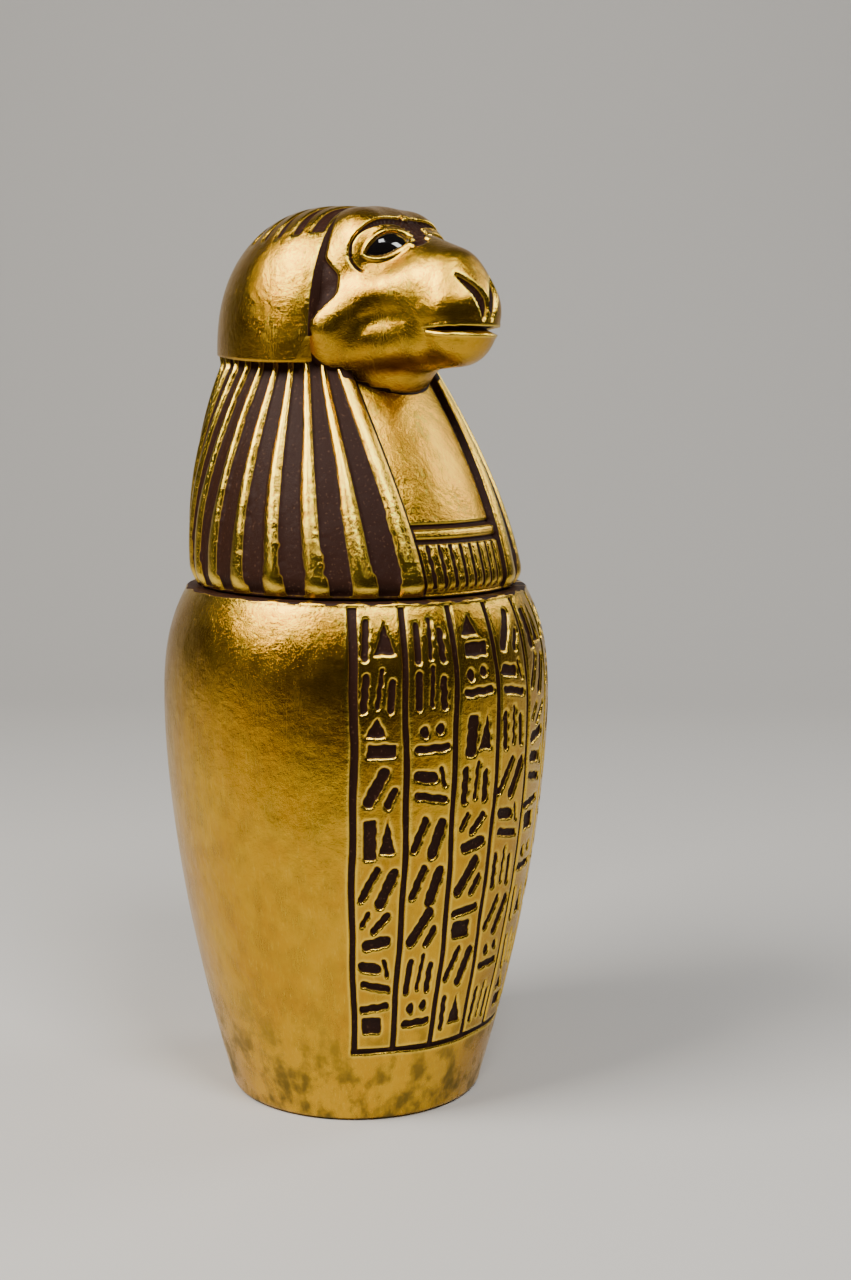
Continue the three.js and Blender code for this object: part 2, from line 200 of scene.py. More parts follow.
def photo_camera():
    """Right, up and back axes from a turn about Z, a tilt down and a roll about the view line."""
    right = np.array([math.cos(CAMERA_TURN), math.sin(CAMERA_TURN), 0])
    level = np.array([math.sin(CAMERA_TURN), -math.cos(CAMERA_TURN), 0])
    place = level * CAMERA_BACK + right * CAMERA_ASIDE + np.array([0, 0, CAMERA_HEIGHT])
    back = level * math.cos(CAMERA_DOWN) + np.array([0, 0, math.sin(CAMERA_DOWN)])
    up = np.cross(back, right)
    side = right * math.cos(CAMERA_ROLL) + up * math.sin(CAMERA_ROLL)
    turn = np.stack([side, np.cross(back, side), back], 1)
    data = bpy.data.cameras.new("photo_camera")
    data.sensor_width = 36
    data.lens = 36 * FOCAL_PIXELS / LONG_SIDE
    data.clip_start = 0.01
    camera = bpy.data.objects.new("photo_camera", data)
    matrix = np.eye(4)
    matrix[:3, :3], matrix[:3, 3] = turn, place
    camera.matrix_world = Matrix(matrix.tolist())
    bpy.context.scene.collection.objects.link(camera)
    bpy.context.scene.camera = camera
    return camera


print("the lens is", round(photo_camera().data.lens, 1), "mm")

# %% [markdown]
# ## Node helpers
#
# A material is a small graph. A few helpers keep it readable: one adds a node and fills its
# sockets, and the others wrap arithmetic, a colour blend, a soft step and a cloudy noise.

# %% Node helpers
def add(tree, kind, inputs=None, **settings):
    """A node of that kind; inputs maps a socket's name or number to a value or another socket."""
    node = tree.nodes.new("ShaderNode" + kind)
    for key, value in settings.items():
        setattr(node, key, value)
    for key, value in (inputs or {}).items():
        if isinstance(value, bpy.types.NodeSocket):
            tree.links.new(value, node.inputs[key])
        else:
            node.inputs[key].default_value = value
    return node


def calc(tree, operation, a, b=0.0, c=0.0, clamp=False):
    """One arithmetic step on values or sockets."""
    node = add(tree, "Math", {0: a, 1: b, 2: c}, operation=operation)
    node.use_clamp = clamp
    return node.outputs[0]


def blend_colour(tree, share, a, b, mode="MIX"):
    """Colour a going to colour b by share."""
    node = add(tree, "Mix", {0: share, 6: a, 7: b}, data_type="RGBA", blend_type=mode)
    return node.outputs[2]


def ramp(tree, value, low, high, to_low=0.0, to_high=1.0):
    """A smooth step of a value between two limits."""
    node = add(tree, "MapRange", {0: value, 1: low, 2: high, 3: to_low, 4: to_high})
    node.interpolation_type = "SMOOTHSTEP"
    return node.outputs[0]


def noise(tree, place, scale, detail=3.0, stretch=(1, 1, 1), rough=0.55):
    """Cloudy noise on Object coordinates; scale is in cells to the millimetre."""
    mapped = add(tree, "Mapping", {"Vector": place, "Scale": [s / MM for s in stretch]})
    return add(
        tree,
        "TexNoise",
        {"Vector": mapped.outputs[0], "Scale": scale, "Detail": detail, "Roughness": rough},
    ).outputs[0]


# %% [markdown]
# ## The leaf finish
#
# Brass leaf isn't one colour. Under the rubbing marks it is thin in cloudy patches where a warm
# red-brown shows through, it carries fine scratches, mostly up and down, it is dented all over by
# the rubbing, and it darkens near the foot. One group of nodes works these out as masks.

# %% The shared wear group
def wear_group():
    """Masks that vary over the surface, one to each output socket."""
    tree = bpy.data.node_groups.new("leaf_wear", "ShaderNodeTree")
    place = add(tree, "TexCoord").outputs["Object"]
    height = calc(tree, "DIVIDE", add(tree, "SeparateXYZ", {0: place}).outputs[2], MM)
    cloud = calc(tree, "MULTIPLY", noise(tree, place, 0.045, 5, (1, 1, 0.6)), 0.65)
    patch = calc(tree, "MULTIPLY", noise(tree, place, 0.16, 4), 0.35)
    brush = calc(tree, "MULTIPLY", noise(tree, place, 1.0, 5, (2.2, 2.2, 0.09), 0.7), 0.6)
    fine = calc(tree, "MULTIPLY", noise(tree, place, 1.0, 4, (6, 6, 0.35), 0.7), 0.4)
    scratch = noise(tree, place, 1.0, 2, (1.6, 1.6, 0.028), 0.5)
    stain = ramp(tree, noise(tree, place, 0.22, 6, (1, 1, 0.7)), 0.40, 0.66)
    near_foot = calc(tree, "ADD", ramp(tree, height, 34, 4), 0.28)
    grain = noise(tree, place, 0.9, 4, rough=0.7)
    more_on_lid = ramp(tree, height, 112, 124, 1.0, 1.25)
    masks = {
        "Cloud": ramp(tree, calc(tree, "ADD", cloud, patch), 0.38, 0.66),
        "Brush": calc(tree, "ADD", brush, fine),
        "Scratch": ramp(tree, scratch, 0.66, 0.74),
        "Speckle": ramp(tree, noise(tree, place, 1.5, 3), 0.6, 0.72),
        "Grime": calc(tree, "MULTIPLY", stain, near_foot),
        "Dent": noise(tree, place, 0.15, 2),
        "Grain": calc(tree, "MULTIPLY", grain, more_on_lid),
    }
    for name in masks:
        tree.interface.new_socket(name, in_out="OUTPUT", socket_type="NodeSocketFloat")
    out = tree.nodes.new("NodeGroupOutput")
    for name, mask in masks.items():
        tree.links.new(mask, out.inputs[name])
    return tree


WEAR = wear_group()
print("wear masks:", [item.name for item in WEAR.interface.items_tree])

# %% [markdown]
# ## Brass leaf over dark paint
#
# The carved grids carry three numbers. The first says where brown paint was left in a hollow, and
# where the same brown stands for painted shade along the seam and at the throat; the noise frays its
# edge. Rub says where a cloth would polish the leaf bright, and eye where the black enamel is. The
# shader's own sockets do the rest: leaf is a metal with a soft polish, paint and painted shade are a
# dull, almost black brown, and the enamel has a clear coat.

# %% The leaf material
LEAF = (0.66, 0.37, 0.018, 1)
LEAF_WARM = (0.47, 0.20, 0.01, 1)
LEAF_PALE = (0.96, 0.66, 0.07, 1)
LEAF_DIM = (0.20, 0.13, 0.02, 1)
# These two browns colour the paint in the hollows and also the painted shade along the seam and at the
# throat.
PAINT_AND_SHADE = (0.024, 0.008, 0.004, 1)
PAINT_AND_SHADE_DUSTY = (0.075, 0.032, 0.016, 1)
ENAMEL = (0.004, 0.003, 0.003, 1)


def leaf_material(name):
    """Leaf where there is no paint, the paint's brown (also used as painted shade) where there is, and
    black enamel on the eyes.
    """
    material = bpy.data.materials.new(name)
    material.use_nodes = True
    tree = material.node_tree
    shader = tree.nodes["Principled BSDF"]
    wear = tree.nodes.new("ShaderNodeGroup")
    wear.node_tree = WEAR
    mask = {n: add(tree, "Attribute", attribute_name=n).outputs["Fac"] for n in ("paint_and_shade", "rub", "eye")}
    frayed = calc(tree, "ADD", mask["paint_and_shade"], calc(tree, "MULTIPLY",
                  calc(tree, "SUBTRACT", wear.outputs["Brush"], 0.5), 0.55))
    paint_and_shade = ramp(tree, frayed, 0.35, 0.6)
    leaf = blend_colour(tree, calc(tree, "MULTIPLY", wear.outputs["Cloud"], 0.6), LEAF, LEAF_WARM)
    leaf = blend_colour(tree, ramp(tree, wear.outputs["Brush"], 0.5, 0.75, 0, 0.6), leaf, LEAF_PALE)
    leaf = blend_colour(tree, calc(tree, "MULTIPLY", wear.outputs["Grime"], 0.8), leaf, LEAF_DIM)
    leaf = blend_colour(tree, calc(tree, "MULTIPLY", mask["rub"], 0.7), leaf, LEAF_PALE)
    brown = blend_colour(tree, wear.outputs["Speckle"], PAINT_AND_SHADE, PAINT_AND_SHADE_DUSTY)
    colour = blend_colour(tree, paint_and_shade, leaf, brown)
    colour = blend_colour(tree, mask["eye"], colour, ENAMEL)
    tree.links.new(colour, shader.inputs["Base Color"])
    dull = calc(tree, "MAXIMUM", paint_and_shade, mask["eye"])
    tree.links.new(calc(tree, "SUBTRACT", 1.0, dull), shader.inputs["Metallic"])
    rough = calc(tree, "ADD", 0.13, calc(tree, "MULTIPLY", wear.outputs["Brush"], 0.15))
    rough = calc(tree, "ADD", rough, calc(tree, "MULTIPLY", wear.outputs["Grime"], 0.25))
    rough = calc(tree, "SUBTRACT", rough, calc(tree, "MULTIPLY", mask["rub"], 0.08))
    rough = add(tree, "Mix", {0: paint_and_shade, 2: rough, 3: 0.5}).outputs[0]
    rough = add(tree, "Mix", {0: mask["eye"], 2: rough, 3: 0.08}).outputs[0]
    shader.inputs["Specular IOR Level"].default_value = 0.1
    shader.inputs["Coat Roughness"].default_value = 0.06
    tree.links.new(mask["eye"], shader.inputs["Coat Weight"])
    tree.links.new(rough, shader.inputs["Roughness"])
    relief = calc(tree, "MULTIPLY", wear.outputs["Brush"], 0.09)
    for part, share in (("Scratch", -0.03), ("Dent", 0.3), ("Grain", 0.115)):
        relief = calc(tree, "ADD", relief, calc(tree, "MULTIPLY", wear.outputs[part], share))
    relief = calc(tree, "MULTIPLY", relief, calc(tree, "SUBTRACT", 1.0, mask["eye"]))
    bump = add(tree, "Bump", {"Height": relief, "Distance": 1 * MM, "Strength": 1.0})
    tree.links.new(bump.outputs[0], shader.inputs["Normal"])
    return material


LEAF_FINISH = leaf_material("brass_leaf")
print("leaf material has", len(LEAF_FINISH.node_tree.nodes), "nodes")

# %% [markdown]
# ## The jar
#
# The vessel was turned, so its outside is one curve: a flank that draws in towards the foot and
# a shoulder that turns in under the lid. The inside follows it one wall further in. The grid has
# most of its columns across the written panel, where the strokes need them.

# %% The jar's curve and its grid
PANEL_TOP = SEAM_Z - 1.2


def jar_radius(z):
    """Belly radius less a power of the share of the way down to the foot, or up to the ledge."""
    flank = (BELLY_R - FOOT_R) * (np.clip(BELLY_Z - z, 0, None) / BELLY_Z) ** FLANK_POWER
    rise = np.clip(z - BELLY_Z, 0, None) / (SEAM_Z - BELLY_Z)
    return BELLY_R - flank - (BELLY_R - LEDGE_R) * rise**SHOULDER_POWER


def jar_profile():
    """Radius, height and side (0 foot and lip, 1 outside, 2 inside) from the foot up and back down."""
    top = SEAM_Z - SEAM_GAP
    turn = np.linspace(0, np.pi / 2, 5)
    foot_r = jar_radius(FOOT_ROUND) - FOOT_ROUND * (1 - np.sin(turn))
    foot_z = FOOT_ROUND * (1 - np.cos(turn))
    out_z = np.concatenate([np.linspace(FOOT_ROUND, PANEL_Z - 2, 12)[1:],
                            np.linspace(PANEL_Z - 2, top - LEDGE_ROUND, 276)[1:]])
    edge = np.linspace(0, np.pi / 2, 5)[1:]
    edge_r = jar_radius(top - LEDGE_ROUND) - LEDGE_ROUND * (1 - np.cos(edge))
    edge_z = top - LEDGE_ROUND + LEDGE_ROUND * np.sin(edge)
    in_z = np.linspace(SEAM_Z - 2 * LIP - 8, FLOOR + WALL, 12)
    bowl = np.linspace(0, np.pi / 2, 6)[1:]
    bowl_r = jar_radius(FLOOR + WALL) - WALL - WALL * (1 - np.cos(bowl))
    bowl_z = FLOOR + WALL - WALL * np.sin(bowl)
    parts = [
        ([0.5, foot_r[0] * 0.6], [0, 0], 0),
        (foot_r, foot_z, 0),
        (jar_radius(out_z), out_z, 1),
        (edge_r, edge_z, 1),
        ([MOUTH_R + 0.4, MOUTH_R, MOUTH_R], [top, top - 0.4, top - LIP], 0),
        (jar_radius(in_z) - WALL, in_z, 2),
        (bowl_r, bowl_z, 2),
        ([0.5], [FLOOR], 2),
    ]
    side = np.concatenate([np.full(len(r), kind) for r, _, kind in parts])
    return np.concatenate([p[0] for p in parts]), np.concatenate([p[1] for p in parts]), side


def panel_angles():
    """Bearings from the face's direction: fine over the panel, wide elsewhere."""
    half = PANEL_HALF / BELLY_R + 0.05
    fine = np.linspace(-half, half, 230)
    wide = np.linspace(half, 2 * np.pi - half, 68)[1:-1]
    return np.concatenate([fine, wide])


# %% [markdown]
# ## The panel's lines and strokes
#
# Ruled lines part the panel into six columns, and each column carries marks that were pressed
# into the mould. The marks here mean nothing: they are strokes, dots, wedges and blocks, each
# worked out as a distance to a line or a blob. A distance turns easily into a soft-edged hollow.

# %% Distances to strokes and blobs
def bar(x, y, x0, y0, x1, y1, width):
    """Distance to a straight stroke with round ends, below zero inside it."""
    dx, dy = x1 - x0, y1 - y0
    along = np.clip(((x - x0) * dx + (y - y0) * dy) / (dx * dx + dy * dy + 1e-9), 0, 1)
    return np.hypot(x - x0 - along * dx, y - y0 - along * dy) - width / 2


def wedge(x, y, cx, cy, half, tall):
    """Distance to a filled triangle that stands on its base."""
    slope = np.hypot(half, tall)
    side = (np.abs(x - cx) * tall + (y - cy) * half - half * tall) / slope
    return np.maximum(side, cy - y)


def block(x, y, cx, cy, half, tall):
    """Distance to a filled upright rectangle with rounded corners."""
    px, py = np.abs(x - cx) - half + 0.12, np.abs(y - cy) - tall + 0.12
    return np.hypot(np.maximum(px, 0), np.maximum(py, 0)) + np.minimum(np.maximum(px, py), 0) - 0.12


def lens(x, y, cx, cy, half, tall):
    """Distance to a filled oval, nearly."""
    return (np.hypot((x - cx) / half, (y - cy) / tall) - 1) * tall


THIN, THICK, FAT = 0.22, 0.34, 0.5
MARK_FORMS = [
    lambda x, y: [block(x, y, -0.2, -0.35, 0.55, 0.4), bar(x, y, -0.7, 0.45, 0.65, 0.6, THICK)],
    lambda x, y: [bar(x, y, -0.6, -0.8, -0.62, 0.6, THICK), bar(x, y, 0, -0.7, 0.05, 0.85, THIN),
                  bar(x, y, 0.6, -0.8, 0.55, 0.35, THICK)],
    lambda x, y: [block(x, y, -0.38, -0.05, 0.3, 0.9), wedge(x, y, 0.42, -0.7, 0.38, 1.6)],
    lambda x, y: [bar(x, y, -0.6, 0.5, 0.1, 0.4, FAT), bar(x, y, 0.5, 0.75, 0.65, 0.05, THIN),
                  bar(x, y, -0.65, -0.35, 0.65, -0.6, THICK)],
    lambda x, y: [wedge(x, y, 0.3, -0.6, 0.48, 1.35), bar(x, y, -0.55, 0.7, -0.6, -0.7, THICK)],
    lambda x, y: [bar(x, y, -0.55, -0.6, 0.25, 0.7, FAT), bar(x, y, 0.3, -0.75, 0.65, -0.1, THICK)],
    lambda x, y: [bar(x, y, -0.7, 0.25, -0.3, 0.8, THIN), bar(x, y, -0.1, 0, 0.6, 0.7, THICK),
                  bar(x, y, -0.5, -0.7, 0.5, -0.5, FAT)],
    lambda x, y: [bar(x, y, -0.7, -0.35, 0.7, -0.3, THICK), lens(x, y, -0.4, 0.4, 0.22, 0.26),
                  lens(x, y, 0.35, 0.5, 0.22, 0.24)],
    lambda x, y: [wedge(x, y, -0.2, 0.1, 0.5, 0.85), block(x, y, 0.1, -0.5, 0.65, 0.3)],
    lambda x, y: [bar(x, y, -0.75, -0.55, -0.1, 0.75, THICK), bar(x, y, 0.15, -0.8, 0.7, 0.55, FAT)],
]


# %% The carved depth of the panel
COLUMN_PITCH = 2 * PANEL_HALF / PANEL_COLUMNS
MARK_RISE = (SEAM_Z - 2 - PANEL_Z - 3) / MARKS


def rule_lines(u, z):
    """Depth of the upright lines beside the columns and of the level line below them."""
    squeeze = jar_radius(z) / BELLY_R
    inside = soft(PANEL_Z - 0.7, PANEL_Z - 0.3, z) * soft(PANEL_TOP + 0.2, PANEL_TOP - 0.2, z)
    depth = np.zeros(u.shape)
    for n in range(PANEL_COLUMNS + 1):
        edge = n in (0, PANEL_COLUMNS)
        width = mix(RULE_W, EDGE_RULE_W if edge else RULE_W * 1.1, soft(30, 105, z))
        sway = 0.28 * np.sin(z * 0.09 + 2.1 * n) + 0.12 * np.sin(z * 0.31 + n)
        away = np.abs(u - (-PANEL_HALF + n * COLUMN_PITCH) - sway) * squeeze - width / 2
        depth = np.maximum(depth, soft(0.16, -0.22, away) * inside)
    floor_line = np.abs(z - PANEL_Z - 0.15 * np.sin(u * 0.2)) - RULE_W / 2
    within = soft(PANEL_HALF + 1, PANEL_HALF + 0.7, np.abs(u))
    return np.maximum(depth, soft(0.16, -0.22, floor_line) * within)


def press_mark(depth, u, z, column, row):
    """Press one mark into the depth, in a unit square of its own that is shifted and leant a little."""
    middle_u = -PANEL_HALF + (column + 0.5) * COLUMN_PITCH + rng.uniform(-0.3, 0.3)
    middle_z = PANEL_Z + 2.5 + (row + 0.5) * MARK_RISE + rng.uniform(-0.4, 0.4)
    lean = rng.uniform(-0.12, 0.12)
    form = MARK_FORMS[(column * 7 + row * 3 + (column * row) % 4) % len(MARK_FORMS)]
    x, y = (u - middle_u) / (COLUMN_PITCH * 0.42), (z - middle_z) / (MARK_RISE * 0.47)
    near = (np.abs(x) < 1.3) & (np.abs(y) < 1.3)
    x, y = x[near], y[near]
    ragged = 0.03 * np.sin(x * 9 + column) * np.sin(y * 11 + row)
    away = np.min(form(x + lean * y, y), axis=0) + ragged
    depth[near] = np.maximum(depth[near], soft(0.05, -0.06, away))


def panel_depth(u, z):
    """0 on the plain surface and 1 at the bottom of a line or a stroke, on a grid of arc and height."""
    depth = rule_lines(u, z)
    for column in range(PANEL_COLUMNS):
        for row in range(MARKS):
            press_mark(depth, u, z, column, row)
    return depth


# %% Make the jar
def jar_surface():
    """The turned profile swept round, with the panel pressed in along the radius."""
    radius, height, side = jar_profile()
    angle = panel_angles()
    u, z = np.meshgrid(angle * BELLY_R, height)
    r = np.repeat(radius[:, None], len(angle), 1)
    outside = (side == 1)[:, None] * np.ones_like(r)
    depth = panel_depth(u, z) * outside
    r = r - CARVE * depth
    a = u / BELLY_R
    points = np.stack([r * np.sin(a), -r * np.cos(a), z], -1)
    top_edge = soft(SEAM_Z - 3.2, SEAM_Z - 0.8, z) * 0.5
    fields = {"paint_and_shade": depth, "rub": np.maximum(rubbed(depth), top_edge * outside), "eye": 0 * depth}
    inner = (side == 2)[:, None] * np.ones_like(r)
    # Painted shadow: a dark band with a wavy edge on the jar's ledge just under the lid, as the seam's
    # shade.
    seam_shade = soft(-0.15, 0.15, z - SEAM_Z + SEAM_GAP + 0.3 + 0.2 * np.sin(a * 26) + 0.15 * np.sin(a * 61))
    fields["paint_and_shade"] = np.maximum.reduce([fields["paint_and_shade"], inner, seam_shade * outside])
    fields["rub"] = fields["rub"] * (1 - fields["paint_and_shade"])
    return points, fields


jar_piece = make_piece("jar_leaf", [jar_surface()], LEAF_FINISH)
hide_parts("jar")

# %% [markdown]
# ## The lid below the hood
#
# The head cloth falls in ribs from the hood to the seam. Its outline is a bell whose middle leans
# back as it rises, so the grid's columns follow the ribs: that way each rib keeps its own columns
# all the way down and its edges stay clean. The chest shows between the two front flaps. The own
# sizes of the bell, and of the hood and the face after it, are hundredths of the lid's height.

# %% The bell and its ribs
BELL_FOOT, BELL_RISE, BELL_LEAN, BELL_NECK = 3, 54, 11.4, 29.6
BELL_POWER, BELL_TUCK, BELL_TUCK_RISE = 1.7, 2, 5.4


def rise_share(z):
    """0 near the lid's lower edge and 1 where the cloth goes under the hood."""
    return np.clip((z / U - BELL_FOOT) / BELL_RISE, 0, 1.1)


def bell_radius(z):
    """Skirt radius, drawn in by a power of the rise and tucked in at the lower edge."""
    draw = (SKIRT_R - BELL_NECK * U) * np.minimum(rise_share(z), 1.02) ** BELL_POWER
    tuck = BELL_TUCK * U * np.clip((BELL_TUCK_RISE - z / U) / BELL_TUCK_RISE, 0, 1) ** 2
    return SKIRT_R - draw - tuck


def bell_centre(z):
    """How far forward the bell's middle is; it leans back as it rises."""
    return -BELL_LEAN * U * rise_share(z)


def rib_angle(k, z):
    """Bearing of rib k: even steps at the foot, drawn forward at the top."""
    share = np.clip(k / (RIBS / 2 - 0.5), 0, 1)
    low = mix(FLAP_ANGLE, 180, share * (1.38 - 0.38 * share))
    high = mix(FLAP_ANGLE_TOP, 180, 0.74 * share + 0.26 * share**4)
    return mix(low, high, np.clip(rise_share(z), 0, 1) ** 1.45)


def flap_angle(z):
    """Bearing of the first rib, the edge of the cloth beside the chest."""
    return rib_angle(0 * z, z)


def chest_floor(z):
    """Depth of the plain chest below the tops of the ribs."""
    return mix(CHEST_DEPTH, CHEST_DEPTH_TOP, np.clip(rise_share(z), 0, 1))


def chest_depth(share, z):
    """Depth and paint from the chest's middle to the first rib: floor, fringe, wall and half a roll,
    with painted shade on the chest under the chin.
    """
    bar_top = BAR_Z + BAR_H
    cell = (share / CHEST_SHARE * 0.5 + 0.5) * BARS
    off = np.abs(cell - np.floor(cell) - 0.5) * 2
    wobble = 0.05 * np.sin(z * 2.3 + np.floor(cell + 0.5) * 4)
    gap = soft(0.50 + wobble, 0.72 + wobble, off) * soft(bar_top + 0.1, bar_top - 0.4, z)
    gap = gap * soft(BAR_Z - 0.4, BAR_Z + 0.2, z)
    line = np.maximum(soft(0.75, 0.4, np.abs(z - bar_top - 0.6)),
                      soft(0.6, 0.3, np.abs(z - bar_top - 0.6 - BAND_H)))
    groove = np.maximum(gap, line)
    proud = FRINGE_PROUD * soft(bar_top + 0.9 + BAND_H, bar_top + 0.2 + BAND_H, z)
    floor = chest_floor(z) - proud + FRINGE_PROUD * groove
    from_rib = np.clip((1 - share) / (1 - CHEST_SHARE), 0, 1)
    roll = RIB_DEPTH * (1 - np.sqrt(1 - from_rib**2))
    inside = soft(CHEST_SHARE + 0.015, CHEST_SHARE - 0.03, share)
    wall = soft(0.045, 0.02, np.abs(share - CHEST_SHARE + 0.02))
    z_h, a = z / U, np.radians(share * flap_angle(z))
    r = (bell_radius(z) - floor) / U
    # Painted shade: the chest turns dark brown close under the chin, where the throat shades it.
    chin_shade = soft(0.9, 0.3, face_field(bell_centre(z) / U + r * np.cos(a), r * np.sin(a), z_h))
    return mix(roll, floor, inside), np.maximum.reduce([groove * inside, wall, chin_shade])


def skirt_surface():
    """Ribs as half-round rolls on the bell, with painted floors between them."""
    level = np.concatenate([[0, 0.25, 0.6, 1.0, 1.5], np.linspace(2, 62 * U, 128)])
    across = np.concatenate([np.linspace(0, 0.76, 38)[:-1], np.linspace(0.76, 1, 18)])
    phase = np.concatenate([[0.0, 0.05, 0.1, 0.15, 0.2, 0.26, 0.32, 0.4],
                            np.linspace(0.5, 0.95, 6)])
    k = (np.arange(RIBS // 2)[:, None] + np.concatenate([phase[-6:] - 1, phase[:8]])[None, :]).ravel()
    k = np.sort(k[(k > 0) & (k < RIBS / 2 - 0.5)])
    columns, z = np.meshgrid(np.concatenate([across - 1, k]), level)
    on_chest = columns <= 0
    share = columns + 1
    angle = np.where(on_chest, share * flap_angle(z), rib_angle(np.maximum(columns, 0), z))
    rib = np.round(columns)
    wide = mix(0.25, 0.19, np.clip(rise_share(z) * 1.4, 0, 1)) + 0.06 * soft(6, 0.5, z)
    uneven = 0.06 * np.sin(z * 0.7 + rib * 7) * np.sin(z * 0.29 + rib * 3) + 0.02 * np.sin(z * 2.7 + rib)
    wide = wide * (1 + uneven)
    off = np.abs(columns - rib - 0.02 * np.sin(z * 0.21 + rib * 5) * np.minimum(columns, 1)) / wide
    roll = np.sqrt(np.clip(1 - off**2, 0, 1))
    lower_rim = soft(0.8, 0.4, z)
    rib_deep = RIB_DEPTH * (1 - roll) * (1 - 0.6 * lower_rim)
    rib_paint = soft(0.78, 0.98, off) * (1 - lower_rim)
    chest_deep, chest_paint_and_shade = chest_depth(np.clip(share, 0, 1), z)
    deep = np.where(on_chest, mix(chest_deep, 0.5 * np.minimum(chest_deep, 1), lower_rim), rib_deep)
    paint_and_shade = np.where(on_chest, chest_paint_and_shade * (1 - lower_rim), rib_paint)
    # Painted shade: the lid's lowest 0.2 to 0.4 mm are made dark brown, as the shadow in the seam.
    paint_and_shade = np.maximum(paint_and_shade, soft(0.4, 0.2, z))
    mirror = lambda g: np.concatenate([g, g[:, :0:-1]], 1)
    angle = np.concatenate([angle, -angle[:, :0:-1]], 1)
    deep, paint_and_shade, z = mirror(deep), mirror(paint_and_shade), mirror(z)
    a = np.radians(angle)
    r = bell_radius(z) - deep
    points = np.stack([r * np.sin(a), -bell_centre(z) - r * np.cos(a), SEAM_Z + z], -1)
    rub = np.maximum(np.clip(1 - deep / 0.45, 0, 1), rubbed(deep)) * (1 - paint_and_shade)
    return points, {"paint_and_shade": paint_and_shade, "rub": rub, "eye": 0 * z}


def spigot_surface():
    """A short plug that drops into the mouth, a little slimmer at its lower end."""
    angle = np.linspace(0, 2 * np.pi, 96, endpoint=False)
    z = np.array([-SPIGOT_DEPTH, -SPIGOT_DEPTH + 0.6, -SPIGOT_DEPTH / 2, 1.0])
    r = np.array([SPIGOT_R - 1.2, SPIGOT_R - 0.6, SPIGOT_R - 0.3, SPIGOT_R])
    points = np.stack([r[:, None] * np.sin(angle), -r[:, None] * np.cos(angle),
                       SEAM_Z + z[:, None] + 0 * angle], -1)
    full = np.ones(points.shape[:2])
    return points, {"paint_and_shade": full, "rub": 0 * full, "eye": 0 * full}


# %% [markdown]
# ## The hood
#
# A dome sits over the back of the head, its top a little forward. It is cut off in front along an
# edge that curves back at the crown, and below along a step. Grooves run over the crown from side
# to side and stop at a smooth band, so the grid's rows are sections across the head, parallel to
# the front edge.

# %% The hood's sections
HOOD_S, HOOD_H, HOOD_R, HOOD_TOP, HOOD_POWER, HOOD_LEAN = -9.4, 61.7, 31.2, 38.3, 2.4, 4.5
HOOD_FRONT, HOOD_DRAW, HOOD_BAND, HOOD_SLOPE = 8.5, 4.5, 29.9, 0.118
HOOD_DROP, HOOD_STEP, HOOD_EASE = 3, 6.6, 2.2
CROWN_GROOVES, GROOVE_DEPTH, GROOVES_FROM, GROOVES_TO = 6, 0.8, 0.4, 0.95


def hood_edge(h):
    """How far forward the hood's front edge is at height h; it is drawn back at the crown."""
    return HOOD_FRONT - HOOD_DRAW * np.clip((h - HOOD_H) / HOOD_TOP, 0, 1.1) ** 4.5


def hood_foot(s):
    """Height of the hood's lower edge: low at the sides, stepped up in front, easing up behind."""
    step = HOOD_STEP * soft(HOOD_FRONT - 3.5, HOOD_FRONT, s)
    return HOOD_H - HOOD_DROP + step + HOOD_EASE * soft(0, -38, s)


def dome(s, t, h):
    """Below zero inside a dome whose sides and top are joined by a power; its top leans forward."""
    up = np.maximum(h - HOOD_H, 0) / HOOD_TOP
    rho = np.hypot(s - HOOD_S - HOOD_LEAN * up**2, t) / HOOD_R
    return ((rho**HOOD_POWER + up**HOOD_POWER) ** (1 / HOOD_POWER) - 1) * HOOD_R


def reach(field, shape, far=60.0, step=1.5):
    """Distance along each ray to the skin: march inwards until inside, then halve the step."""
    r = np.full(shape, far)
    out = np.ones(shape, bool)
    for _ in range(int(far / step) - 1):
        out &= field(r) > 0
        if not out.any():
            break
        r = np.where(out, r - step, r)
    low, high = r, r + step
    for _ in range(14):
        middle = (low + high) / 2
        outside = field(middle) > 0
        low, high = np.where(outside, low, middle), np.where(outside, middle, high)
    return (low + high) / 2


def to_model(s, t, h):
    """From the head's own hundredths, forward, side and up, to millimetres in the frame."""
    return np.stack([-t * U, -s * U, SEAM_Z + h * U], -1)


def crown_grooves(v, s, h):
    """1 at the bottom of a groove over the crown; v is the share of the way to the front edge."""
    at = (v - GROOVES_FROM) / (GROOVES_TO - GROOVES_FROM) * (CROWN_GROOVES - 1)
    off = np.abs(at - np.round(at))
    wide = mix(0.17, 0.30, soft(0.75, 0.97, v))
    over_band = h - HOOD_H - HOOD_BAND - HOOD_SLOPE * s
    within = (v > 0.35) & (v < 0.985)
    return soft(wide + 0.1, wide - 0.06, off) * within * soft(-0.6, 0.8, over_band)


